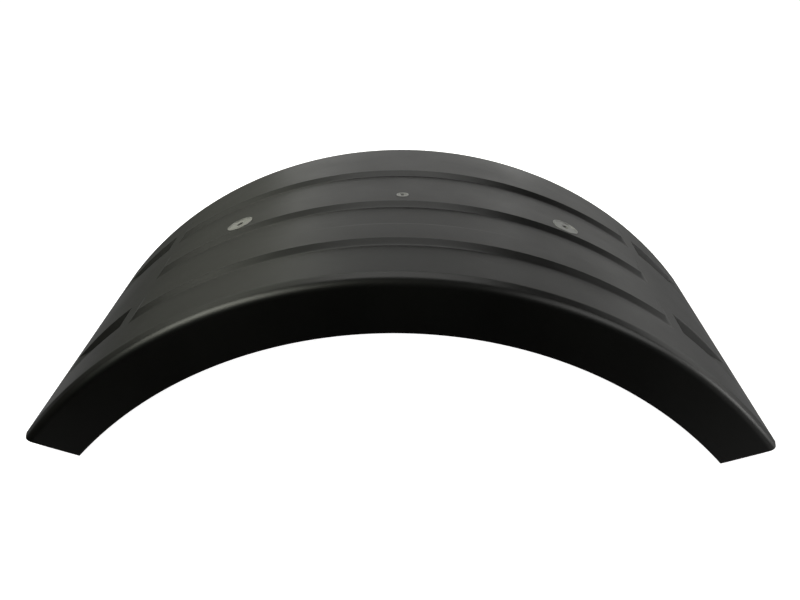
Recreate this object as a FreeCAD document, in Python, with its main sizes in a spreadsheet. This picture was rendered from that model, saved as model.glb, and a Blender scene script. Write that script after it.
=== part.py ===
import FreeCAD, Part
import math
import os
import Sketcher

# Rear fender for a pair of tyres: one moulded arch with turned-down flanges, three raised ribs and
# four wedge recesses at its ends, and three flanged steel bushes where it bolts to its brackets.
# Millimetres and degrees. +X runs along the arch, +Y from the outer to the inner side, +Z up.
# Everything is drawn about the wheel axis, and placements lower it so that the rim's corners stand on Z = 0.
# Angles are measured about the wheel axis from the crown.

SIZES = {
    "crown_radius": 700,      # wheel axis to the outside of the skin
    "crease_width": 576,      # between the two creases where the skin turns down
    "wall": 4,                # thickness of the moulding
    "end_angle": 51.5,        # end edge of the skin
    "rim_angle": 48.0,        # end corner of the flange's rim
    "shoulder_slope": 14,     # fall of the narrow shoulder beside the crease
    "edge_radius": 14,        # rounding from shoulder to flange
    "flange_drop": 78,        # depth of the flange below the skin
    "flange_reach": 30,       # rim outside the crease
    "flange_lean": 8,         # flange from the plane of the wheel
    "rib_inset": 136,         # outer crease to the first rib's middle
    "rib_pitch": 160,         # rib to rib
    "rib_top": 56,            # flat width of a rib
    "rib_height": 6,          # rib above the skin
    "rib_slope": 22,          # fall of a rib's sides
    "rib_foot_radius": 20,    # rounding from a rib's side into the skin
    "rib_angle": 35.6,        # end of the ribs
    "rib_end_run": 18,        # length of the ramp at a rib's end
    "rib_feather": 0.2,       # thin edge where a rib runs out on the skin
    "recess_end": 48.5,       # shallow edge of an end recess, where its floor meets the skin
    "recess_tilt": 14.8,      # floor of a recess from the skin's own direction at that edge
    "recess_length": 112,     # floor, from its shallow edge to its deep end
    "recess_width": 68,       # floor at its shallow edge
    "recess_deep_width": 35,  # floor at its deep end
    "recess_draft": 40,       # lean of a recess's walls
    "recess_pitch": 306,      # recess to recess across the arch
    "bolt_angle": 22.4,       # the two large bushes, each side of the crown
    "seat_depth": 1.2,        # flat seat of a bush, below the rib's top
    "seat_gap": 0.5,          # bush flange to the seat's edge
    "bush_gap": 0.1,          # bush barrel to its hole
    "bush_plate": 1.6,        # thickness of a bush's flange at its raised rim
    "bush_rim": 2.5,          # width of that rim
    "dish_depth": 0.6,        # flat of the flange, below the rim's top
    "side_flange": 45,        # large bushes: flange diameter
    "side_barrel": 17,
    "side_hole": 11,
    "centre_flange": 20,      # small bush: flange diameter
    "centre_barrel": 11,
    "centre_hole": 6.5,
}

doc = FreeCAD.newDocument("rear_fender")
sheet = doc.addObject("Spreadsheet::Sheet", "sizes")
for row, (alias, value) in enumerate(SIZES.items(), start=1):
    sheet.set("A%d" % row, alias)
    sheet.set("B%d" % row, str(value))
    sheet.setAlias("B%d" % row, alias)
doc.recompute()

# Places that several features share, as expressions on the sheet
CREASE = "sizes.crease_width / 2"
RIM_RADIUS = "(sizes.crown_radius - sizes.flange_drop)"
RIB_RADIUS = "(sizes.crown_radius + sizes.rib_height)"
FIRST_RIB = "(sizes.rib_inset - sizes.crease_width / 2)"
MIDDLE_RIB = "(sizes.rib_inset + sizes.rib_pitch - sizes.crease_width / 2)"
LIFT = "%s * cos(sizes.rim_angle * 1deg)" % RIM_RADIUS
SEAT_RADIUS = "(%s - sizes.seat_depth)" % RIB_RADIUS
ARCH_ANGLE = "sizes.end_angle * 1.04"  # the arch is turned a little too long and its ends are cut straight
RECESS_ANGLE = "(sizes.recess_end - sizes.recess_tilt)"  # square to a recess floor
RECESS_REACH = "sizes.recess_length * tan(sizes.recess_tilt * 1deg)"  # more than a recess is deep
FIRST_RECESS = "(%s - sizes.recess_pitch / 2)" % MIDDLE_RIB


def polar(radius, angle):
    """Corner at a radius and an angle from the crown, as a pair of expressions."""
    return "(%s) * sin((%s) * 1deg)" % (radius, angle), "(%s) * cos((%s) * 1deg)" % (radius, angle)


def along(start, end, share):
    """Corner on the line from start to end, at a share of its length, which may pass 1."""
    return tuple("(%s) + ((%s) - (%s)) * %s" % (a, b, a, share) for a, b in zip(start, end))


def mirrored(corners):
    """The same outline on the other side of the crown."""
    return [("-(%s)" % across, up) for across, up in corners]


def origin_feature(body, role):
    return next(feature for feature in body.Origin.OriginFeatures if feature.Role == role)


def new_sketch(body, name, role):
    sketch = body.newObject("Sketcher::SketchObject", name)
    sketch.AttachmentSupport = [(origin_feature(body, role), "")]
    sketch.MapMode = "FlatFace"
    return sketch


def drawn_value(sketch, kind, places):
    """What a dimension measures in the sketch as first drawn."""
    edge = sketch.Geometry[places[0]]
    if kind == "Diameter":
        return 2 * edge.Radius
    if kind == "Radius":
        return edge.Radius
    if kind == "Angle":
        step = edge.EndPoint - edge.StartPoint
        return math.atan2(step.y, step.x)
    step = sketch.getPoint(places[2], places[3]) - sketch.getPoint(places[0], places[1])
    return step.x if kind == "DistanceX" else step.y


def hold(sketch, kind, places, expression):
    """Add one dimension to a sketch and tie it to the sheet."""
    value = drawn_value(sketch, kind, places)
    index = sketch.addConstraint(Sketcher.Constraint(kind, *places, value))
    sketch.setExpression("Constraints[%d]" % index, expression)


def hold_point(sketch, geometry, point, across, up):
    """Place one end of an edge from the sketch's origin."""
    hold(sketch, "DistanceX", (-1, 1, geometry, point), across)
    hold(sketch, "DistanceY", (-1, 1, geometry, point), up)


def join(sketch, kind, *places):
    sketch.addConstraint(Sketcher.Constraint(kind, *places))


def outline(sketch, corners):
    """Closed outline of straight edges through corners given as expressions."""
    first = sketch.GeometryCount
    count = len(corners)
    turn = 2 * math.pi / count
    ring = [FreeCAD.Vector(100 * math.cos(turn * i), 100 * math.sin(turn * i), 0) for i in range(count)]
    for i in range(count):
        sketch.addGeometry(Part.LineSegment(ring[i], ring[(i + 1) % count]), False)
    for i, (across, up) in enumerate(corners):
        join(sketch, "Coincident", first + i, 2, first + (i + 1) % count, 1)
        hold_point(sketch, first + i, 1, across, up)


def arc(centre, radius, start, end):
    """Arc of a sketch, anticlockwise between two angles in degrees."""
    circle = Part.Circle(FreeCAD.Vector(centre[0], centre[1], 0), FreeCAD.Vector(0, 0, 1), radius)
    return Part.ArcOfCircle(circle, math.radians(start), math.radians(end))


def line(start, end):
    return Part.LineSegment(FreeCAD.Vector(start[0], start[1], 0), FreeCAD.Vector(end[0], end[1], 0))


def turn_about_wheel(body, kind, name, sketch, half_angle):
    """Revolve a section about the wheel axis, as far to each side of the crown."""
    feature = body.newObject("PartDesign::" + kind, name)
    feature.Profile = sketch
    feature.ReferenceAxis = (sketch, ["H_Axis"])
    feature.Midplane = True
    feature.Refine = True
    feature.setExpression("Angle", "2 * (%s) * 1deg" % half_angle)
    return feature


def extrude(body, kind, name, sketch, length):
    """Pad or pocket a sketch by the same length to both sides of its plane."""
    feature = body.newObject("PartDesign::" + kind, name)
    feature.Profile = sketch
    feature.SideType = "Symmetric"
    feature.Refine = True
    feature.setExpression("Length", length)
    return feature


def row_of(body, name, features, count, length):
    """Repeat features across the arch, evenly over a length."""
    pattern = body.newObject("PartDesign::LinearPattern", name)
    pattern.Originals = features
    pattern.Direction = (origin_feature(body, "Y_Axis"), [""])
    pattern.Mode = "Extent"
    pattern.setExpression("Length", length)
    pattern.Occurrences = count
    pattern.Refine = True
    body.Tip = pattern
    return pattern


def arch_section(body):
    """Half of the shell's section: skin, shoulder, rounded edge and flange, one wall thick."""
    sketch = new_sketch(body, "arch_section", "YZ_Plane")
    skin, wall, radius = SIZES["crown_radius"], SIZES["wall"], SIZES["edge_radius"]
    slope, lean = math.radians(SIZES["shoulder_slope"]), math.radians(SIZES["flange_lean"])
    crease_at = -SIZES["crease_width"] / 2
    rim = (crease_at - SIZES["flange_reach"], skin - SIZES["flange_drop"])
    # where shoulder and flange would meet without the rounding
    out = (SIZES["flange_reach"] - SIZES["flange_drop"] * math.tan(lean)) / (1 - math.tan(slope) * math.tan(lean))
    corner = (crease_at - out, skin - out * math.tan(slope))
    tangent = radius * math.tan((math.pi / 2 - lean - slope) / 2)
    shoulder_end = (corner[0] + tangent * math.cos(slope), corner[1] + tangent * math.sin(slope))
    flange_top = (corner[0] - tangent * math.sin(lean), corner[1] - tangent * math.cos(lean))
    centre = (shoulder_end[0] + radius * math.sin(slope), shoulder_end[1] - radius * math.cos(slope))
    inner_end = (shoulder_end[0] + wall * math.sin(slope), shoulder_end[1] - wall * math.cos(slope))
    inner_top = (flange_top[0] + wall * math.cos(lean), flange_top[1] - wall * math.sin(lean))
    inner_rim = (rim[0] + wall / math.cos(lean), rim[1])
    rise = skin - wall - inner_end[1]
    inner_crease = (inner_end[0] + rise / math.tan(slope), skin - wall)
    bend = (90 + SIZES["shoulder_slope"], 180 - SIZES["flange_lean"])
    skin_line, shoulder, edge, flange, rim_line, inner_flange, inner_edge, inner_shoulder, inner_skin, middle = range(10)
    sketch.addGeometry([
        line((0, skin), (crease_at, skin)),
        line(shoulder_end, (crease_at, skin)),
        arc(centre, radius, *bend),
        line(rim, flange_top),
        line(rim, inner_rim),
        line(inner_rim, inner_top),
        arc(centre, radius - wall, *bend),
        line(inner_end, inner_crease),
        line(inner_crease, (0, skin - wall)),
        line((0, skin - wall), (0, skin)),
    ], False)
    join(sketch, "Coincident", skin_line, 2, shoulder, 2)
    join(sketch, "Tangent", shoulder, 1, edge, 1)
    join(sketch, "Tangent", edge, 2, flange, 2)
    join(sketch, "Coincident", flange, 1, rim_line, 1)
    join(sketch, "Coincident", rim_line, 2, inner_flange, 1)
    join(sketch, "Tangent", inner_flange, 2, inner_edge, 2)
    join(sketch, "Tangent", inner_edge, 1, inner_shoulder, 1)
    join(sketch, "Coincident", inner_shoulder, 2, inner_skin, 1)
    join(sketch, "Coincident", inner_skin, 2, middle, 1)
    join(sketch, "Coincident", middle, 2, skin_line, 1)
    join(sketch, "Coincident", edge, 3, inner_edge, 3)
    join(sketch, "Parallel", shoulder, inner_shoulder)
    join(sketch, "Parallel", flange, inner_flange)
    for level in (skin_line, rim_line, inner_skin):
        join(sketch, "Horizontal", level)
    join(sketch, "Vertical", middle)
    join(sketch, "PointOnObject", skin_line, 1, -2)
    hold(sketch, "DistanceY", (-1, 1, skin_line, 1), "sizes.crown_radius")
    hold(sketch, "DistanceX", (skin_line, 2, -1, 1), CREASE)
    hold(sketch, "Angle", (shoulder,), "sizes.shoulder_slope * 1deg")
    hold(sketch, "Angle", (flange,), "(90 - sizes.flange_lean) * 1deg")
    hold(sketch, "DistanceX", (flange, 1, -1, 1), CREASE + " + sizes.flange_reach")
    hold(sketch, "DistanceY", (-1, 1, flange, 1), RIM_RADIUS)
    hold(sketch, "Radius", (edge,), "sizes.edge_radius")
    hold(sketch, "Radius", (inner_edge,), "sizes.edge_radius - sizes.wall")
    hold(sketch, "DistanceY", (-1, 1, inner_skin, 2), "sizes.crown_radius - sizes.wall")
    return sketch


def rib_section(body):
    """Section of the first rib: flat top, straight sides, and feet that run out level on the skin."""
    sketch = new_sketch(body, "rib_section", "YZ_Plane")
    half_top, radius, slope = SIZES["rib_top"] / 2, SIZES["rib_foot_radius"], math.radians(SIZES["rib_slope"])
    middle = SIZES["rib_inset"] - SIZES["crease_width"] / 2
    top, foot = SIZES["crown_radius"] + SIZES["rib_height"], SIZES["crown_radius"] - SIZES["rib_feather"]
    base = SIZES["crown_radius"] - SIZES["wall"] / 2
    fall = top - foot - radius * (1 - math.cos(slope))
    side_run = fall / math.tan(slope)
    half_foot = half_top + side_run + radius * math.sin(slope)
    left_top, right_top = (middle - half_top, top), (middle + half_top, top)
    left_bend, right_bend = (middle - half_top - side_run, top - fall), (middle + half_top + side_run, top - fall)
    left, right = middle - half_foot, middle + half_foot
    rib_top, right_side, right_foot, right_end, bottom, left_end, left_foot, left_side = range(8)
    sketch.addGeometry([
        line(left_top, right_top),
        line(right_bend, right_top),
        arc((right, foot + radius), radius, 270 - SIZES["rib_slope"], 270),
        line((right, foot), (right, base)),
        line((right, base), (left, base)),
        line((left, base), (left, foot)),
        arc((left, foot + radius), radius, 270, 270 + SIZES["rib_slope"]),
        line(left_bend, left_top),
    ], False)
    join(sketch, "Coincident", rib_top, 2, right_side, 2)
    join(sketch, "Tangent", right_side, 1, right_foot, 1)
    join(sketch, "Coincident", right_foot, 2, right_end, 1)
    join(sketch, "Coincident", right_end, 2, bottom, 1)
    join(sketch, "Coincident", bottom, 2, left_end, 1)
    join(sketch, "Coincident", left_end, 2, left_foot, 1)
    join(sketch, "Tangent", left_foot, 2, left_side, 1)
    join(sketch, "Coincident", left_side, 2, rib_top, 1)
    join(sketch, "Horizontal", rib_top)
    join(sketch, "Horizontal", bottom)
    join(sketch, "Vertical", right_end)
    join(sketch, "Vertical", left_end)
    join(sketch, "Vertical", right_foot, 3, right_foot, 2)
    join(sketch, "Vertical", left_foot, 3, left_foot, 1)
    hold_point(sketch, rib_top, 1, FIRST_RIB + " - sizes.rib_top / 2", RIB_RADIUS)
    hold(sketch, "DistanceX", (rib_top, 1, rib_top, 2), "sizes.rib_top")
    hold(sketch, "Angle", (right_side,), "(180 - sizes.rib_slope) * 1deg")
    hold(sketch, "Angle", (left_side,), "sizes.rib_slope * 1deg")
    for foot_arc, end in ((right_foot, 2), (left_foot, 1)):
        hold(sketch, "Radius", (foot_arc,), "sizes.rib_foot_radius")
        hold(sketch, "DistanceY", (-1, 1, foot_arc, end), "sizes.crown_radius - sizes.rib_feather")
    hold(sketch, "DistanceY", (-1, 1, bottom, 1), "sizes.crown_radius - sizes.wall / 2")
    return sketch


def rib_hollow(body):
    """Underside of the first rib, one wall below its top and its sides."""
    sketch = new_sketch(body, "rib_hollow", "YZ_Plane")
    half_top = "(sizes.rib_top / 2 - sizes.wall * tan(sizes.rib_slope * 0.5deg))"
    # the sides pass through the underside of the skin and end one wall below it
    half_base = "(%s + (sizes.rib_height + sizes.wall) / tan(sizes.rib_slope * 1deg))" % half_top
    roof = RIB_RADIUS + " - sizes.wall"
    below = "sizes.crown_radius - 2 * sizes.wall"
    outline(sketch, [
        (FIRST_RIB + " - " + half_top, roof),
        (FIRST_RIB + " + " + half_top, roof),
        (FIRST_RIB + " + " + half_base, below),
        (FIRST_RIB + " - " + half_base, below),
    ])
    return sketch


def rib_end_outline():
    """What is taken off the rib's square end to leave a ramp."""
    ramp_angle = "(sizes.rib_end_run / sizes.crown_radius * 180 / pi)"
    ramp_foot = polar("sizes.crown_radius + sizes.rib_feather", "sizes.rib_angle")
    ramp_top = polar(RIB_RADIUS, "sizes.rib_angle - " + ramp_angle)
    clear = polar("sizes.crown_radius + 3 * sizes.rib_height", "sizes.rib_angle + " + ramp_angle)
    return [ramp_foot, along(ramp_foot, ramp_top, 2), clear]


def end_outline():
    """Everything beyond the straight end cut, which runs from the skin's edge to the rim's corner."""
    skin_end = polar("sizes.crown_radius", "sizes.end_angle")
    rim_end = polar(RIM_RADIUS, "sizes.rim_angle")
    outer = along(rim_end, skin_end, 1.6)
    inner = along(rim_end, skin_end, -0.6)
    return [inner, outer, (outer[0], "0"), (inner[0], "0")]


def recess_sketch(body, name, side, lower, spread, overrun):
    """Outline of the first recess's floor, in a plane lowered below it, on one side of the crown (-1 or 1)."""
    sketch = new_sketch(body, name, "XY_Plane")
    shallow_half = "(sizes.recess_width / 2 + %s)" % spread
    deep_half = "(sizes.recess_deep_width / 2 + %s)" % spread
    deep_end = "-(sizes.recess_length + %s)" % spread
    corners = [
        (overrun, shallow_half),
        (deep_end, deep_half),
        (deep_end, "-" + deep_half),
        (overrun, "-" + shallow_half),
    ]
    outline(sketch, corners if side > 0 else mirrored(corners))
    across, up = polar("sizes.crown_radius", "sizes.recess_end")
    inward, down = polar(lower, RECESS_ANGLE)
    place = FreeCAD.Placement(FreeCAD.Vector(0, 0, 0), FreeCAD.Rotation(FreeCAD.Vector(0, 1, 0), 1))
    sketch.AttachmentOffset = place
    sketch.setExpression("AttachmentOffset.Base.x", "%d * (%s - %s)" % (side, across, inward))
    sketch.setExpression("AttachmentOffset.Base.y", FIRST_RECESS)
    sketch.setExpression("AttachmentOffset.Base.z", "%s - %s" % (up, down))
    sketch.setExpression("AttachmentOffset.Rotation.Angle", "%d * %s * 1deg" % (side, RECESS_ANGLE))
    return sketch


def draw_out(body, kind, name, sketch):
    """Pad or pocket from a recess floor out past the skin, with leaning walls."""
    feature = body.newObject("PartDesign::" + kind, name)
    feature.Profile = sketch
    feature.Reversed = kind == "Pocket"
    feature.Refine = True
    feature.setExpression("Length", RECESS_REACH)
    feature.setExpression("TaperAngle", "sizes.recess_draft * 1deg")
    return feature


def trim_section(body):
    """What stands proud of the skin across the recesses."""
    sketch = new_sketch(body, "trim_section", "YZ_Plane")
    half_width = "(sizes.recess_pitch / 2 + sizes.recess_width)"
    high = "sizes.crown_radius + 2 * " + RECESS_REACH
    outline(sketch, [
        (MIDDLE_RIB + " - " + half_width, "sizes.crown_radius"),
        (MIDDLE_RIB + " + " + half_width, "sizes.crown_radius"),
        (MIDDLE_RIB + " + " + half_width, high),
        (MIDDLE_RIB + " - " + half_width, high),
    ])
    return sketch


def side_sketch(body, name, corners):
    """Sketch in the plane of the wheel with one outline on each side of the crown."""
    sketch = new_sketch(body, name, "XZ_Plane")
    outline(sketch, corners)
    outline(sketch, mirrored(corners))
    return sketch


def bolt_sketch(body, name, angle, diameter):
    """Circle on the flat seat of a bush, on the middle rib."""
    sketch = new_sketch(body, name, "XY_Plane")
    sketch.addGeometry(Part.Circle(FreeCAD.Vector(0, 0, 0), FreeCAD.Vector(0, 0, 1), 1), False)
    join(sketch, "Coincident", 0, 3, -1, 1)
    hold(sketch, "Diameter", (0,), diameter)
    place_on_rib(sketch, "AttachmentOffset", angle, "0")
    return sketch


def place_on_rib(target, placement, angle, lower):
    """Put a sketch or a bush on a seat of the middle rib, square to the arch there."""
    across, up = polar(SEAT_RADIUS, angle)
    value = FreeCAD.Placement(FreeCAD.Vector(0, 0, 0), FreeCAD.Rotation(FreeCAD.Vector(0, 1, 0), 1))
    setattr(target, placement, value)
    target.setExpression(placement + ".Base.x", across)
    target.setExpression(placement + ".Base.y", MIDDLE_RIB)
    target.setExpression(placement + ".Base.z", "%s - %s" % (up, lower))
    target.setExpression(placement + ".Rotation.Angle", "(%s) * 1deg" % angle)


def fender_shell():
    body = doc.addObject("PartDesign::Body", "fender_shell")
    body.Label = "fender_shell"
    arch = turn_about_wheel(body, "Revolution", "arch_half", arch_section(body), ARCH_ANGLE)
    whole = body.newObject("PartDesign::Mirrored", "arch")
    whole.Originals = [arch]
    whole.MirrorPlane = (origin_feature(body, "XZ_Plane"), [""])
    whole.Refine = True
    body.Tip = whole
    width = "sizes.crease_width + 4 * sizes.flange_reach"
    extrude(body, "Pocket", "end_cuts", side_sketch(body, "end_lines", end_outline()), width)
    # one wall of moulding behind each recess, cut flush with the skin
    wall_spread = "sizes.wall * (1 - sin(sizes.recess_draft * 1deg)) / cos(sizes.recess_draft * 1deg)"
    recess_walls = []
    for side, word in ((-1, "left"), (1, "right")):
        wall_lines = recess_sketch(body, word + "_recess_wall_lines", side, "sizes.wall", wall_spread, "0")
        recess_walls.append(draw_out(body, "Pad", word + "_recess_wall", wall_lines))
    row_of(body, "recess_walls", recess_walls, 2, "sizes.recess_pitch")
    turn_about_wheel(body, "Groove", "skin_trim", trim_section(body), ARCH_ANGLE)
    rib = turn_about_wheel(body, "Revolution", "rib", rib_section(body), "sizes.rib_angle")
    row_of(body, "ribs", [rib], 3, "2 * sizes.rib_pitch")
    extrude(body, "Pocket", "rib_ends", side_sketch(body, "rib_end_lines", rib_end_outline()), width)
    hollow_angle = "sizes.rib_angle - sizes.rib_end_run / sizes.crown_radius * 180 / pi"
    hollow = turn_about_wheel(body, "Groove", "rib_underside", rib_hollow(body), hollow_angle)
    row_of(body, "rib_undersides", [hollow], 3, "2 * sizes.rib_pitch")
    recess_cuts = []
    for side, word in ((-1, "left"), (1, "right")):
        floor_lines = recess_sketch(body, word + "_recess_floor", side, "0", "0", "sizes.recess_length / 10")
        recess_cuts.append(draw_out(body, "Pocket", word + "_recess_cut", floor_lines))
    row_of(body, "recess_cuts", recess_cuts, 2, "sizes.recess_pitch")
    for name, kind, angle in BUSHES:
        seat_size = "sizes.%s_flange + 2 * sizes.seat_gap" % kind
        seat = body.newObject("PartDesign::Pocket", name + "_seat")
        seat.Profile = bolt_sketch(body, name + "_seat_circle", angle, seat_size)
        seat.Reversed = True
        seat.setExpression("Length", "2 * sizes.rib_height")
        hole_size = "sizes.%s_barrel + 2 * sizes.bush_gap" % kind
        hole_circle = bolt_sketch(body, name + "_hole_circle", angle, hole_size)
        extrude(body, "Pocket", name + "_hole", hole_circle, "4 * sizes.wall")
    body.setExpression("Placement.Base.z", "-(%s)" % LIFT)
    return body


def bolt_bush(name, kind, angle):
    """Flanged bush: barrel through the moulding, and a flange with a raised rim on its seat."""
    body = doc.addObject("PartDesign::Body", name)
    body.Label = name
    sketch = new_sketch(body, name + "_section", "XZ_Plane")
    hole = "sizes.%s_hole / 2" % kind
    barrel = "sizes.%s_barrel / 2" % kind
    flange = "sizes.%s_flange / 2" % kind
    foot = "-(sizes.wall - sizes.seat_depth)"
    outline(sketch, [
        (hole, foot),
        (barrel, foot),
        (barrel, "0"),
        (flange, "0"),
        (flange, "sizes.bush_plate"),
        (flange + " - sizes.bush_rim", "sizes.bush_plate"),
        (flange + " - sizes.bush_rim", "sizes.bush_plate - sizes.dish_depth"),
        (hole, "sizes.bush_plate - sizes.dish_depth"),
    ])
    turned = body.newObject("PartDesign::Revolution", name + "_turned")
    turned.Profile = sketch
    turned.ReferenceAxis = (sketch, ["V_Axis"])
    turned.Angle = 360
    place_on_rib(body, "Placement", angle, LIFT)
    return body


BUSHES = [
    ("left_bolt_bush", "side", "-sizes.bolt_angle"),
    ("right_bolt_bush", "side", "sizes.bolt_angle"),
    ("centre_bolt_bush", "centre", "0"),
]
parts = [fender_shell()] + [bolt_bush(*bush) for bush in BUSHES]
doc.recompute()

for item in doc.Objects:
    faults = [state for state in item.State if state in ("Invalid", "Error")]
    if faults:
        raise RuntimeError("%s: %s" % (item.Name, faults))
for body in parts:
    if body.Shape.isNull() or not body.Shape.isValid() or len(body.Shape.Solids) != 1:
        raise RuntimeError("%s is not one sound solid" % body.Label)
for body in parts:
    for feature in body.Group:
        before = getattr(feature, "BaseFeature", None)
        if feature.TypeId in ("PartDesign::Pocket", "PartDesign::Groove") and before is not None:
            if feature.Shape.Volume >= before.Shape.Volume:
                raise RuntimeError("%s takes nothing away" % feature.Name)

os.makedirs("parts", exist_ok=True)
for body in parts:
    body.Shape.exportStep("parts/%s.step" % body.Label)
    box = body.Shape.optimalBoundingBox(False)
    print("%-18s volume %.0f  X %.1f %.1f  Y %.1f %.1f  Z %.2f %.2f" % (
        body.Label, body.Shape.Volume, box.XMin, box.XMax, box.YMin, box.YMax, box.ZMin, box.ZMax))
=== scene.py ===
import math

import bpy
import numpy as np
from mathutils import Matrix, Vector


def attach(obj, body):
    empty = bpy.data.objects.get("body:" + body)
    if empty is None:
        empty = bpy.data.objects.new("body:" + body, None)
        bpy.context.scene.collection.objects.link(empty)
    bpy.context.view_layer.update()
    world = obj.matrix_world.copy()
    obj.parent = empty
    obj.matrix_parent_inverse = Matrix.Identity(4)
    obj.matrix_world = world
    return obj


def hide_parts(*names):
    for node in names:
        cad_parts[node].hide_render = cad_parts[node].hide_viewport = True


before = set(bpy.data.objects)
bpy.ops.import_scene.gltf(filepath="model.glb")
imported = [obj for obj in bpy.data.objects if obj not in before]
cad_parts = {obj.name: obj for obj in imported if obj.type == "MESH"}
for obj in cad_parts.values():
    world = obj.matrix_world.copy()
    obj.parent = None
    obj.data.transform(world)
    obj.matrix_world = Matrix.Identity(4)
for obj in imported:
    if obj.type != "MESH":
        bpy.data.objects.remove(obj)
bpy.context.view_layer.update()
print("frame loaded:", sorted(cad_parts))

# metres and degrees; angles are about the wheel axis, from the crown
fenderShell = {
    "crownRadius": 0.700,
    "creaseHalf": 0.288,
    "wall": 0.004,
    "endAngle": 51.5,
    "rimAngle": 48.0,
    "shoulderSlope": 14.0,
    "edgeRadius": 0.014,
    "flangeDrop": 0.078,
    "flangeReach": 0.030,
    "flangeLean": 8.0,
    "ribMiddles": (-0.152, 0.008, 0.168),
    "ribTopHalf": 0.028,
    "ribHeight": 0.006,
    "ribSlope": 22.0,
    "ribFootRadius": 0.020,
    "ribFeather": 0.0002,
    "ribAngle": 35.6,
    "ribEndRun": 0.018,
    "recessMiddles": (-0.145, 0.161),
    "recessEnd": 48.5,
    "recessTilt": 14.8,
    "recessLength": 0.112,
    "recessHalf": 0.034,
    "recessDeepHalf": 0.0175,
    "recessDraft": 40.0,
    "lipRound": 0.0012,      # soft lip round each recess
    "followReach": 0.046,    # how far beside and before a recess the surface's lines bend to follow it
    "followFade": 1.5,
    "boltAngles": (-22.4, 0.0, 22.4),
    "patchHalves": (0.026, 0.014, 0.026),
    "seatRadii": (0.023, 0.0105, 0.023),
    "holeRadii": (0.0086, 0.0056, 0.0086),
    "seatDepth": 0.0012,
    "lineStep": 0.009,       # widest spacing of the surface's lines
    "holdLine": 0.0008,      # a line this close to a rib's top edge keeps the edge crisp
    "blendRun": 2.0,         # how far before the rim's end the lines begin to close up to the end cut
    "hair": 0.00002,         # length of the step up into a rib's hollow
    "sharpAngle": 20.0,      # edges that turn more than this are shaded sharp
}


def fillLines(marks, step):
    # keeps every mark and divides the gaps between them evenly, none wider than step
    marks = np.unique(np.round(marks, 9))
    counts = np.maximum(np.ceil(np.diff(marks) / step).astype(int), 1)
    runs = [a + (b - a) * np.arange(n) / n for a, b, n in zip(marks[:-1], marks[1:], counts)]
    return np.concatenate(runs + [marks[-1:]])


def chordRadius(startRadius, startAngle, endRadius, endAngle, angles):
    # radius at each angle of the straight line between two polar points: cross(p, d) / cross(ray, d)
    ax, az = startRadius * np.sin(np.radians(startAngle)), startRadius * np.cos(np.radians(startAngle))
    bx, bz = endRadius * np.sin(np.radians(endAngle)), endRadius * np.cos(np.radians(endAngle))
    sx, sz = np.sin(np.radians(angles)), np.cos(np.radians(angles))
    return (ax * (bz - az) - az * (bx - ax)) / (sx * (bz - az) - sz * (bx - ax))


def endAngleAt(radius, v):
    # angle at which a circle of this radius meets the straight end cut
    e, b = math.radians(v["endAngle"]), math.radians(v["rimAngle"])
    rim = v["crownRadius"] - v["flangeDrop"]
    ex, ez = v["crownRadius"] * math.sin(e), v["crownRadius"] * math.cos(e)
    bx, bz = rim * math.sin(b), rim * math.cos(b)
    dx, dz = ex - bx, ez - bz
    qa, qb, qc = dx * dx + dz * dz, bx * dx + bz * dz, rim * rim - radius ** 2
    share = (-qb + np.sqrt(qb * qb - qa * qc)) / qa
    return np.degrees(np.arctan2(bx + share * dx, bz + share * dz))


def sideSection(v):
    # near side of the section from rim to crease: straight flange, arc, straight shoulder,
    # with outward normals
    slope, lean = math.radians(v["shoulderSlope"]), math.radians(v["flangeLean"])
    radius = v["edgeRadius"]
    out = (v["flangeReach"] - v["flangeDrop"] * math.tan(lean)) / (1 - math.tan(slope) * math.tan(lean))
    corner = np.array([-v["creaseHalf"] - out, v["crownRadius"] - out * math.tan(slope)])
    tangent = radius * math.tan((math.pi / 2 - lean - slope) / 2)
    rim = np.array([-v["creaseHalf"] - v["flangeReach"], v["crownRadius"] - v["flangeDrop"]])
    flangeTop = corner - tangent * np.array([math.sin(lean), math.cos(lean)])
    shoulderEnd = corner + tangent * np.array([math.cos(slope), math.sin(slope)])
    centre = shoulderEnd + radius * np.array([math.sin(slope), -math.cos(slope)])
    crease = np.array([-v["creaseHalf"], v["crownRadius"]])
    flangeShare = np.array([0.0, 0.02, 0.1, 0.3, 0.5, 0.7, 0.9])[:, None]
    bend = np.linspace(math.pi - lean, math.pi / 2 + slope, 13)[:, None]
    shoulderShare = np.array([0.25, 0.5, 0.75])[:, None]
    flange = rim + (flangeTop - rim) * flangeShare
    edge = centre + radius * np.hstack([np.cos(bend), np.sin(bend)])
    shoulder = shoulderEnd + (crease - shoulderEnd) * shoulderShare
    points = np.vstack([flange, edge, shoulder])
    normals = np.vstack([
        np.tile([-math.cos(lean), math.sin(lean)], (len(flange), 1)),
        np.hstack([np.cos(bend), np.sin(bend)]),
        np.tile([-math.sin(slope), math.cos(slope)], (len(shoulder), 1))])
    return points, normals


def ribRise(across, v):
    # flat top, straight side, then a foot arc that runs out level just below the skin
    slope = math.radians(v["ribSlope"])
    beyond = np.min([np.abs(across - m) for m in v["ribMiddles"]], axis=0) - v["ribTopHalf"]
    side = v["ribHeight"] - beyond * math.tan(slope)
    footRun = v["ribFootRadius"] * math.sin(slope)
    sideFall = v["ribHeight"] + v["ribFeather"] - v["ribFootRadius"] * (1 - math.cos(slope))
    left = np.clip(sideFall / math.tan(slope) + footRun - beyond, 0, footRun)
    foot = v["ribFootRadius"] - np.sqrt(v["ribFootRadius"] ** 2 - left ** 2) - v["ribFeather"]
    return np.clip(np.where(left < footRun, foot, side), 0, v["ribHeight"])


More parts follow.
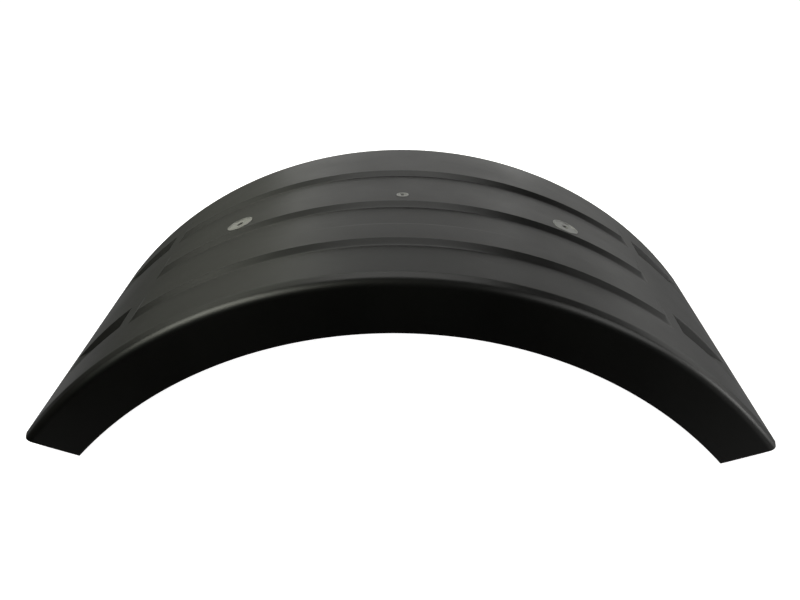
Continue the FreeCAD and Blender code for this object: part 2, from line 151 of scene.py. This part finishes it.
def recessForm(turn, v, under):
    # one wedge recess cut by rays from the wheel axis: radius of its floor or deep wall,
    # whichever is higher, and its side walls as (offset from the middle) = fixed + perRadius * radius
    draft = math.radians(v["recessDraft"])
    lower, overrun = (v["wall"], 0.0) if under else (0.0, v["recessLength"] / 10)
    spread = lower * (1 - math.sin(draft)) / math.cos(draft)
    tilt, lean = math.radians(v["recessTilt"]), math.radians(v["recessEnd"] - v["recessTilt"])
    up, start = v["crownRadius"] * math.cos(tilt) - lower, v["crownRadius"] * math.sin(tilt)
    rayUp, rayOn = np.cos(np.radians(turn) - lean), np.sin(np.radians(turn) - lean)
    length = v["recessLength"] + spread
    widening = (v["recessHalf"] - v["recessDeepHalf"]) / (length + overrun)
    sideDraft = math.tan(draft) / math.cos(math.atan(widening))
    deepWall = (start - length + math.tan(draft) * up) / (rayOn + math.tan(draft) * rayUp)
    fixed = v["recessDeepHalf"] + spread + widening * (length - start) - sideDraft * up
    return np.maximum(up / rayUp, deepWall), widening * rayOn + sideDraft * rayUp, fixed


def recessTurns(v, under):
    # angles of a recess's mouth and of its floor, at the deep wall
    draft, tilt = math.radians(v["recessDraft"]), math.radians(v["recessTilt"])
    lower = v["wall"] if under else 0.0
    up, start = v["crownRadius"] * math.cos(tilt) - lower, v["crownRadius"] * math.sin(tilt)
    deep = start - v["recessLength"] - lower * (1 - math.sin(draft)) / math.cos(draft)
    lean = v["recessEnd"] - v["recessTilt"]
    mouth = math.asin((deep + math.tan(draft) * up) * math.cos(draft) / (v["crownRadius"] - lower)) - draft
    return lean + math.degrees(mouth), lean + math.degrees(math.atan2(deep, up))


def recessRadius(turn, across, v, under):
    base, perRadius, fixed = recessForm(turn, v, under)
    beside = np.min([np.abs(across - m) for m in v["recessMiddles"]], axis=0)
    return np.maximum(base, (beside - fixed) / perRadius)


def followRecess(turn, across, v, under):
    # moves the lines beside each recess so that one runs along the foot of its walls
    # and one along its mouth
    mouthTurn, skin = recessTurns(v, under)[0], v["crownRadius"] - v["wall"] * under
    deep, half, reach = v["recessDeepHalf"], v["recessHalf"], v["followReach"]
    base, perRadius, fixed = recessForm(np.clip(turn, mouthTurn, v["recessEnd"]), v, under)
    outside = np.maximum(mouthTurn - turn, turn - v["recessEnd"])
    share = 1 - np.clip(outside / v["followFade"], 0, 1)
    atSkin = fixed + skin * perRadius
    mouth = half + (atSkin - half) * share
    foot = np.minimum(fixed + np.minimum(base, skin) * perRadius, atSkin - v["lipRound"])
    foot = deep + (foot - deep) * share
    for middle in v["recessMiddles"]:
        beside = np.abs(across - middle)
        inner = beside * foot / deep
        wall = foot + (beside - deep) * (mouth - foot) / (half - deep)
        outer = mouth + (beside - half) * (reach - mouth) / (reach - half)
        moved = np.where(beside < deep, inner, np.where(beside < half, wall, outer))
        across = np.where(beside < reach, middle + np.copysign(moved, across - middle), across)
    return across


def softMin(a, b, blend):
    # lower of two heights, rounded over where they come within blend of each other
    share = np.clip(0.5 + (b - a) / (2 * blend), 0, 1)
    return b + (a - b) * share - blend * share * (1 - share)


def outerRadius(angles, across, v):
    # skin plus the lower of rib section and end ramp, cut by the recesses
    turn = np.abs(angles)
    rampTop = v["ribAngle"] - math.degrees(v["ribEndRun"] / v["crownRadius"])
    ramp = chordRadius(v["crownRadius"] + v["ribFeather"], v["ribAngle"],
                       v["crownRadius"] + v["ribHeight"], rampTop, np.clip(turn, rampTop, v["ribAngle"]))
    ramp = np.where(turn > v["ribAngle"], 0, ramp - v["crownRadius"])
    surface = v["crownRadius"] + np.minimum(ribRise(across, v), ramp)
    recess = recessRadius(turn, across, v, False)
    return np.where(turn > v["ribAngle"], softMin(surface, recess, v["lipRound"]), surface)


def innerRadius(angles, across, v):
    # one wall below the skin, higher under the ribs and lower under the recesses
    turn = np.abs(angles)
    slope = math.radians(v["ribSlope"])
    skin = v["crownRadius"] - v["wall"]
    halfTop = v["ribTopHalf"] - v["wall"] * math.tan(slope / 2)
    beyond = np.min([np.abs(across - m) for m in v["ribMiddles"]], axis=0) - halfTop
    hollow = np.clip(v["ribHeight"] - beyond * math.tan(slope), 0, v["ribHeight"])
    hollowEnd = v["ribAngle"] - math.degrees(v["ribEndRun"] / v["crownRadius"])
    return np.where(turn < hollowEnd, skin + hollow, np.minimum(skin, recessRadius(turn, across, v, True)))


def gridFaces(index):
    # quads of a grid of vertex numbers, turned so that rows x columns point outwards
    a, b, c, d = index[:-1, :-1], index[1:, :-1], index[1:, 1:], index[:-1, 1:]
    return np.stack([a, b, c, d], axis=-1)


def ribSideLines(v):
    # offsets of the lines down a rib's side from its top edge: straight side, then the foot arc
    slope = math.radians(v["ribSlope"])
    sideFall = v["ribHeight"] + v["ribFeather"] - v["ribFootRadius"] * (1 - math.cos(slope))
    sideEnd = sideFall / math.tan(slope)
    footEnd = sideEnd + v["ribFootRadius"] * math.sin(slope)
    straight, foot = np.linspace(0, sideEnd, 4), np.linspace(sideEnd, footEnd, 6)
    return np.concatenate([[0, v["holdLine"]], straight[1:], foot[1:]])


def archLines(patches, v):
    # angles of the lines along the arch; on a rib's end ramp they lie where the ramp is as high
    # as the rib's side is at each of its own lines
    runTurn, hairTurn = (math.degrees(v[k] / v["crownRadius"]) for k in ("ribEndRun", "hair"))
    rises = ribRise(v["ribMiddles"][0] + v["ribTopHalf"] + ribSideLines(v), v)
    rampShares = (rises - v["ribFeather"]) / (v["ribHeight"] - v["ribFeather"])
    half = [0.0, v["ribAngle"] + 0.02, v["rimAngle"] - v["blendRun"]]
    half += [v["endAngle"], v["endAngle"] - 0.08]
    half += list(v["ribAngle"] - runTurn * np.clip(rampShares, 0, 1))
    half += [v["ribAngle"] - runTurn - hairTurn, v["ribAngle"] - runTurn * 1.05]
    for under in (False, True):
        half += list(np.linspace(*recessTurns(v, under), 4))
    lipTurns = np.degrees(np.linspace(-1.2, 1.2, 7) * v["lipRound"] / v["crownRadius"])
    half += list(recessTurns(v, False)[0] + lipTurns)
    half += [v["recessEnd"] - d for d in (6, 4, 2, 0.8, 0.45, 0.2, 0, -0.2)]
    marks = [s * m for s in (-1, 1) for m in half]
    marks += [a + share * turn for a, turn, p in patches for share in np.linspace(-1, 1, 11)]
    return fillLines(np.array(marks), math.degrees(v["lineStep"] / v["crownRadius"]))


def skinLines(patches, v):
    # places of the lines across the skin, between the two creases
    slope = math.radians(v["ribSlope"])
    hollowIn = v["wall"] * math.tan(slope / 2)
    hollowEnd = v["ribHeight"] / math.tan(slope) - hollowIn
    ribOffsets = v["ribTopHalf"] + np.append(ribSideLines(v), [hollowEnd, -hollowIn])
    recessOffsets = np.concatenate([
        v["recessDeepHalf"] * np.array([0, 0.5, 1]),
        v["recessDeepHalf"] + (v["recessHalf"] - v["recessDeepHalf"]) * np.array([0.4, 0.75]),
        v["recessHalf"] + v["lipRound"] * np.linspace(-1.2, 1.2, 7)])
    marks = [s * (v["creaseHalf"] - inset) for s in (-1, 1) for inset in (0, 0.002)]
    marks += [m + s * o for m in v["ribMiddles"] for s in (-1, 1) for o in ribOffsets]
    marks += [m + s * o for m in v["recessMiddles"] for s in (-1, 1) for o in recessOffsets]
    middle = v["ribMiddles"][1]
    marks += [middle + share * p for a, turn, p in patches for share in np.linspace(-1, 1, 9)]
    return fillLines(np.array(marks), v["lineStep"])


def axisDepth(v):
    # depth of the wheel axis below the plane that the end corners stand on
    return (v["crownRadius"] - v["flangeDrop"]) * math.cos(math.radians(v["rimAngle"]))


def carryRound(line, radiusAt, turns, onSkin, v):
    # profile carried round the wheel axis; past blendFrom the lines close up to the straight end cut
    blendFrom = v["rimAngle"] - v["blendRun"]
    reach = endAngleAt(line[:, 1], v)
    share = np.clip((np.abs(turns) - blendFrom) / (v["endAngle"] - blendFrom), 0, 1)[:, None]
    closing = blendFrom + share * (reach - blendFrom)[None, :]
    angle = np.where(share > 0, closing, np.abs(turns)[:, None])
    angle = np.copysign(angle, turns[:, None])
    across = np.broadcast_to(line[:, 0], angle.shape)
    across = followRecess(np.abs(angle), across, v, radiusAt is innerRadius)
    radius = np.where(onSkin, radiusAt(angle, across, v), line[:, 1])
    a = np.radians(angle)
    return np.stack([radius * np.sin(a), across, radius * np.cos(a) - axisDepth(v)], axis=-1)


def boltRings(angle, seat, hole, spin, edgeB, v):
    # rings from the square opening in the grid to the seat's circle, its floor, the hole and back below
    ribOut = v["crownRadius"] + v["ribHeight"]
    ribIn = ribOut - v["wall"]
    edgeA, edgeIn = ribOut * np.sin(spin), ribIn * np.sin(spin)
    phase = np.arctan2(edgeB, edgeA)
    ringA, ringB, ringUp = [], [], []
    for share in (0.35, 0.7, 1.0):
        ringA.append(edgeA + (seat * np.cos(phase) - edgeA) * share)
        ringB.append(edgeB + (seat * np.sin(phase) - edgeB) * share)
        ringUp.append(np.sqrt(ribOut ** 2 - ringA[-1] ** 2))
    for radius in (seat, hole):
        ringA.append(radius * np.cos(phase))
        ringB.append(radius * np.sin(phase))
        ringUp.append(np.full(len(phase), ribOut - v["seatDepth"]))
    for share in (1.0, 0.6, 0.3):
        ringA.append(edgeIn + (hole * np.cos(phase) - edgeIn) * share)
        ringB.append(edgeB + (hole * np.sin(phase) - edgeB) * share)
        ringUp.append(np.sqrt(ribIn ** 2 - ringA[-1] ** 2))
    a, b, up = np.array(ringA), np.array(ringB), np.array(ringUp)
    s, c = math.sin(math.radians(angle)), math.cos(math.radians(angle))
    return np.stack([a * c + up * s, b + v["ribMiddles"][1], up * c - a * s - axisDepth(v)], axis=-1)


def makeFenderShell(v):
    ribOut = v["crownRadius"] + v["ribHeight"]
    patchTurns = [math.degrees(math.asin(p / ribOut)) for p in v["patchHalves"]]
    patches = list(zip(v["boltAngles"], patchTurns, v["patchHalves"]))
    turns, skinAcross = archLines(patches, v), skinLines(patches, v)
    # whole section: near side, skin, far side
    points, normals = sideSection(v)
    flip = np.array([-1.0, 1.0])
    skinPoints = np.stack([skinAcross, np.full(len(skinAcross), v["crownRadius"])], axis=1)
    skinNormals = np.tile([0.0, 1.0], (len(skinAcross), 1))
    section = np.vstack([points, skinPoints, (points * flip)[::-1]])
    offset = np.vstack([normals, skinNormals, (normals * flip)[::-1]])
    first, last = len(points), len(points) + len(skinAcross) - 1
    mitre = math.tan(math.radians(v["shoulderSlope"]) / 2)
    offset[first], offset[last] = (-mitre, 1.0), (mitre, 1.0)
    inner = section - v["wall"] * offset
    rimGap = v["wall"] / math.cos(math.radians(v["flangeLean"]))
    inner[0] = section[0] + (rimGap, 0)
    inner[-1] = section[-1] - (rimGap, 0)
    onSkin = np.zeros(len(section), bool)
    onSkin[first:last + 1] = True
    outerGrid = carryRound(section, outerRadius, turns, onSkin, v)
    innerGrid = carryRound(inner, innerRadius, turns, onSkin, v)
    rows, cols = outerGrid.shape[:2]
    outerIndex = np.arange(rows * cols).reshape(rows, cols)
    innerIndex = outerIndex + rows * cols
    vertices = [outerGrid.reshape(-1, 3), innerGrid.reshape(-1, 3)]
    count = 2 * rows * cols
    # a square is left out of both skins at each bolt, and rings fill it
    keep = np.ones((rows - 1, cols - 1), bool)
    extra = []
    middle = v["ribMiddles"][1]
    for (angle, turn, patch), seat, hole in zip(patches, v["seatRadii"], v["holeRadii"]):
        i0, i1 = (np.argmin(np.abs(turns - angle - s * turn)) for s in (-1, 1))
        j0, j1 = (first + np.argmin(np.abs(skinAcross - middle - s * patch)) for s in (-1, 1))
        keep[i0:i1, j0:j1] = False
        loopI = np.concatenate([
            np.arange(i0, i1), np.full(j1 - j0, i1), np.arange(i1, i0, -1), np.full(j1 - j0, i0)])
        loopJ = np.concatenate([
            np.full(i1 - i0, j0), np.arange(j0, j1), np.full(i1 - i0, j1), np.arange(j1, j0, -1)])
        spin, edgeB = np.radians(turns[loopI] - angle), skinAcross[loopJ - first] - middle
        rings = boltRings(angle, seat, hole, spin, edgeB, v)
        index = count + np.arange(rings.size // 3).reshape(rings.shape[:2])
        index = np.vstack([outerIndex[loopI, loopJ], index, innerIndex[loopI, loopJ]])
        index = np.hstack([index, index[:, :1]])
        extra.append(gridFaces(index.T).reshape(-1, 4))
        vertices.append(rings.reshape(-1, 3))
        count += rings.size // 3
    faces = [gridFaces(outerIndex)[keep], gridFaces(innerIndex)[keep][:, ::-1]] + extra
    # rims and end caps between the outer and the inner skin
    faces.append(gridFaces(np.stack([innerIndex[:, 0], outerIndex[:, 0]], axis=1)).reshape(-1, 4))
    faces.append(gridFaces(np.stack([outerIndex[:, -1], innerIndex[:, -1]], axis=1)).reshape(-1, 4))
    faces.append(gridFaces(np.stack([outerIndex[-1], innerIndex[-1]], axis=0)).reshape(-1, 4))
    faces.append(gridFaces(np.stack([innerIndex[0], outerIndex[0]], axis=0)).reshape(-1, 4))
    mesh = bpy.data.meshes.new("fenderShellSurface")
    mesh.from_pydata(np.vstack(vertices).tolist(), [], np.vstack(faces).tolist())
    mesh.validate()
    mesh.polygons.foreach_set("use_smooth", np.ones(len(mesh.polygons), bool))
    mesh.set_sharp_from_angle(angle=math.radians(v["sharpAngle"]))
    mesh.update()
    piece = bpy.data.objects.new("fenderShellSurface", mesh)
    bpy.context.collection.objects.link(piece)
    print("fender shell:", rows, "x", cols, "lines,", len(mesh.polygons), "faces")
    return piece


shellPiece = makeFenderShell(fenderShell)
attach(shellPiece, "root")
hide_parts("fender_shell")


def makeGroup(name, inputs, outputs):
    group = bpy.data.node_groups.new(name, "ShaderNodeTree")
    for label, kind, value in inputs:
        socket = group.interface.new_socket(label, in_out="INPUT", socket_type=kind)
        socket.default_value = value
    for label, kind in outputs:
        group.interface.new_socket(label, in_out="OUTPUT", socket_type=kind)
    return group, group.nodes.new("NodeGroupInput"), group.nodes.new("NodeGroupOutput")


def makeMouldGrain():
    # fine grain and broad uneven sheen: noise at two sizes, mapped to roughness, height and tone
    group, given, put = makeGroup("mouldGrain", [
        ("Grain Size", "NodeSocketFloat", 0.0012),
        ("Patch Size", "NodeSocketFloat", 0.12),
        ("Smooth", "NodeSocketFloat", 0.34),
        ("Rough", "NodeSocketFloat", 0.42),
        ("Dark", "NodeSocketColor", (0.01, 0.01, 0.01, 1)),
        ("Light", "NodeSocketColor", (0.02, 0.02, 0.02, 1)),
    ], [("Color", "NodeSocketColor"), ("Roughness", "NodeSocketFloat"), ("Height", "NodeSocketFloat")])
    nodes, links = group.nodes, group.links
    place = nodes.new("ShaderNodeTexCoord")
    grainScale, patchScale = nodes.new("ShaderNodeMath"), nodes.new("ShaderNodeMath")
    for scale, label in ((grainScale, "Grain Size"), (patchScale, "Patch Size")):
        scale.operation = "DIVIDE"
        scale.inputs[0].default_value = 1.0
        links.new(given.outputs[label], scale.inputs[1])
    grain, patch = nodes.new("ShaderNodeTexNoise"), nodes.new("ShaderNodeTexNoise")
    grain.inputs["Detail"].default_value = 3
    patch.inputs["Detail"].default_value = 4
    patch.inputs["Roughness"].default_value = 0.6
    for noise, scale in ((grain, grainScale), (patch, patchScale)):
        links.new(place.outputs["Object"], noise.inputs["Vector"])
        links.new(scale.outputs[0], noise.inputs["Scale"])
    both = nodes.new("ShaderNodeMath")
    both.operation = "MULTIPLY_ADD"
    both.inputs[1].default_value = 0.35
    links.new(grain.outputs["Fac"], both.inputs[0])
    links.new(patch.outputs["Fac"], both.inputs[2])
    span = nodes.new("ShaderNodeMapRange")
    span.inputs["From Min"].default_value = 0.45
    span.inputs["From Max"].default_value = 0.9
    links.new(both.outputs[0], span.inputs["Value"])
    links.new(given.outputs["Smooth"], span.inputs["To Min"])
    links.new(given.outputs["Rough"], span.inputs["To Max"])
    mix = nodes.new("ShaderNodeMix")
    mix.data_type = "RGBA"
    links.new(patch.outputs["Fac"], mix.inputs[0])
    links.new(given.outputs["Dark"], mix.inputs[6])
    links.new(given.outputs["Light"], mix.inputs[7])
    links.new(mix.outputs[2], put.inputs["Color"])
    links.new(span.outputs[0], put.inputs["Roughness"])
    links.new(grain.outputs["Fac"], put.inputs["Height"])
    return group


mouldGrain = makeMouldGrain()

blackPlastic = {
    "grainSize": 0.0011,
    "patchSize": 0.16,
    "smooth": 0.34,
    "rough": 0.42,
    "dark": (0.0008, 0.0008, 0.0007, 1),
    "light": (0.0014, 0.0014, 0.0012, 1),
    "ior": 1.46,
    "bump": 0.10,
    "bumpDepth": 0.0004,
}
bushMetal = {
    "grainSize": 0.0007,
    "patchSize": 0.012,
    "smooth": 0.38,
    "rough": 0.55,
    "dark": (0.30, 0.30, 0.29, 1),
    "light": (0.46, 0.46, 0.45, 1),
    "ior": 1.5,
    "bump": 0.15,
    "bumpDepth": 0.0004,
}


def makeFinish(name, v, metallic):
    material = bpy.data.materials.new(name)
    material.use_nodes = True
    nodes, links = material.node_tree.nodes, material.node_tree.links
    shader = nodes["Principled BSDF"]
    shader.inputs["Metallic"].default_value = metallic
    shader.inputs["IOR"].default_value = v["ior"]
    grain = nodes.new("ShaderNodeGroup")
    grain.node_tree = mouldGrain
    for label, key in (("Grain Size", "grainSize"), ("Patch Size", "patchSize"), ("Smooth", "smooth"),
                       ("Rough", "rough"), ("Dark", "dark"), ("Light", "light")):
        grain.inputs[label].default_value = v[key]
    bump = nodes.new("ShaderNodeBump")
    bump.inputs["Strength"].default_value = v["bump"]
    bump.inputs["Distance"].default_value = v["bumpDepth"]
    links.new(grain.outputs["Color"], shader.inputs["Base Color"])
    links.new(grain.outputs["Roughness"], shader.inputs["Roughness"])
    links.new(grain.outputs["Height"], bump.inputs["Height"])
    links.new(bump.outputs["Normal"], shader.inputs["Normal"])
    return material


shellPiece.data.materials.append(makeFinish("blackPlastic", blackPlastic, 0.0))
bushFinish = makeFinish("bushMetal", bushMetal, 1.0)
for name in ("left_bolt_bush", "right_bolt_bush", "centre_bolt_bush"):
    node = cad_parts[name]
    node.data.materials.clear()
    node.data.materials.append(bushFinish)
print("materials:", [m.name for m in bpy.data.materials])

studio = {
    "floorSize": 14.0,
    "floorDrop": 0.0006,
    "floorColor": (0.86, 0.86, 0.86, 1),
    "floorGlow": 1.0,
    "floorGleam": 0.347,     # bright floor far behind, as the plastic mirrors it
    "gleamAhead": (0.25, 0.70),
    "gleamBelow": (-0.32, -0.08),
    "aim": (0.0, 0.0, 0.15),
    "distance": 4.0,
    "cool": (1.0, 1.0, 0.97),
    "warm": (1.0, 1.02, 0.88),
    # turn from straight behind, elevation (degrees), width, height (metres), watts, tint;
    # those below the horizon stand for light thrown back by the floor
    "softboxes": {
        "backMiddle": (0, 9, 2.6, 1.8, 15.8, "cool"),
        "backLeft": (-36, 9, 2.6, 1.8, 4.0, "warm"),
        "backRight": (36, 9, 2.6, 1.8, 9.2, "cool"),
        "farRight": (62, 10, 2.2, 1.6, 7.1, "cool"),
        "lowRight": (85, 8, 1.8, 1.2, 24.8, "cool"),
        "highLeft": (-40, 34, 2.6, 1.8, 15.4, "warm"),
        "overBack": (0, 57, 2.6, 1.8, 28.0, "cool"),
        "sideLeft": (-98, 44, 2.2, 1.6, 73.0, "warm"),
        "frontLeft": (-125, 42, 2.0, 1.6, 44.7, "warm"),
        "sideRight": (100, 41, 2.6, 2.0, 34.0, "cool"),
        "frontRight": (125, 38, 2.0, 1.6, 12.0, "cool"),
        "lowSideRight": (118, -8, 2.0, 1.8, 7.0, "cool"),
        "bounceRight": (137, -30, 1.4, 1.2, 2.5, "cool"),
        "bounceLeft": (-137, -30, 1.4, 1.2, 1.5, "cool"),
    },
}


def makeFloor(v):
    mesh = bpy.data.meshes.new("floor")
    h, z = v["floorSize"] / 2, -v["floorDrop"]
    mesh.from_pydata([(-h, -h, z), (h, -h, z), (h, h, z), (-h, h, z)], [], [(0, 1, 2, 3)])
    floor = bpy.data.objects.new("floor", mesh)
    bpy.context.collection.objects.link(floor)
    floor.visible_glossy = False
    floor.visible_shadow = False
    material = bpy.data.materials.new("paleFloor")
    material.use_nodes = True
    shader = material.node_tree.nodes["Principled BSDF"]
    shader.inputs["Base Color"].default_value = v["floorColor"]
    shader.inputs["Roughness"].default_value = 0.9
    shader.inputs["Specular IOR Level"].default_value = 0.0
    shader.inputs["Emission Color"].default_value = (1, 1, 1, 1)
    shader.inputs["Emission Strength"].default_value = v["floorGlow"]
    mesh.materials.append(material)


def makeStudio(v):
    # white where the camera looks past the fender; mirrored in it, only a glow behind, below the horizon
    world = bpy.data.worlds.new("studio")
    bpy.context.scene.world = world
    world.use_nodes = True
    nodes, links = world.node_tree.nodes, world.node_tree.links
    place, split = nodes.new("ShaderNodeTexCoord"), nodes.new("ShaderNodeSeparateXYZ")
    links.new(place.outputs["Generated"], split.inputs[0])
    ahead, below = nodes.new("ShaderNodeMapRange"), nodes.new("ShaderNodeMapRange")
    for span, axis, key, ends in ((ahead, "Y", "gleamAhead", (0.0, v["floorGleam"])),
                                  (below, "Z", "gleamBelow", (1.0, 0.0))):
        span.interpolation_type = "SMOOTHSTEP"
        span.inputs["From Min"].default_value, span.inputs["From Max"].default_value = v[key]
        span.inputs["To Min"].default_value, span.inputs["To Max"].default_value = ends
        links.new(split.outputs[axis], span.inputs["Value"])
    gleam = nodes.new("ShaderNodeMath")
    gleam.operation = "MULTIPLY"
    links.new(ahead.outputs[0], gleam.inputs[0])
    links.new(below.outputs[0], gleam.inputs[1])
    path, seen = nodes.new("ShaderNodeLightPath"), nodes.new("ShaderNodeMix")
    links.new(path.outputs["Is Camera Ray"], seen.inputs[0])
    links.new(gleam.outputs[0], seen.inputs[2])
    seen.inputs[3].default_value = 1.0
    links.new(seen.outputs[0], nodes["Background"].inputs["Strength"])
    nodes["Background"].inputs["Color"].default_value = (1, 1, 1, 1)
    for name, (turn, rise, wide, tall, watts, tint) in v["softboxes"].items():
        a, e = math.radians(turn), math.radians(rise)
        away = Vector((math.sin(a) * math.cos(e), math.cos(a) * math.cos(e), math.sin(e)))
        data = bpy.data.lights.new(name, "AREA")
        data.shape = "RECTANGLE"
        data.size, data.size_y = wide, tall
        data.energy = watts
        data.color = v[tint]
        light = bpy.data.objects.new(name, data)
        light.location = Vector(v["aim"]) + away * v["distance"]
        light.rotation_euler = away.to_track_quat("Z", "Y").to_euler()
        light.visible_camera = False
        bpy.context.collection.objects.link(light)
    bpy.context.scene.view_settings.view_transform = "Standard"
    print("studio: floor, world and", len(v["softboxes"]), "softboxes")


makeFloor(studio)
makeStudio(studio)

view = {
    "place": (0.0151, -1.3963, 0.7711),
    "yaw": -0.754,
    "down": 25.553,
    "roll": 0.257,
    "lens": 40.734,
}


def makeCamera(v):
    yaw, down, roll = (math.radians(v[k]) for k in ("yaw", "down", "roll"))
    plan = Vector((math.sin(yaw), math.cos(yaw), 0))
    ahead = plan * math.cos(down) - Vector((0, 0, math.sin(down)))
    right = Vector((math.cos(yaw), -math.sin(yaw), 0))
    up = right.cross(ahead)
    camRight = right * math.cos(roll) + up * math.sin(roll)
    camUp = up * math.cos(roll) - right * math.sin(roll)
    data = bpy.data.cameras.new("photoView")
    data.sensor_width = 36
    data.sensor_fit = "HORIZONTAL"
    data.lens = v["lens"]
    camera = bpy.data.objects.new("photoView", data)
    camera.matrix_world = Matrix((camRight, camUp, -ahead)).transposed().to_4x4()
    camera.location = v["place"]
    bpy.context.collection.objects.link(camera)
    bpy.context.scene.camera = camera


makeCamera(view)
print("camera set")
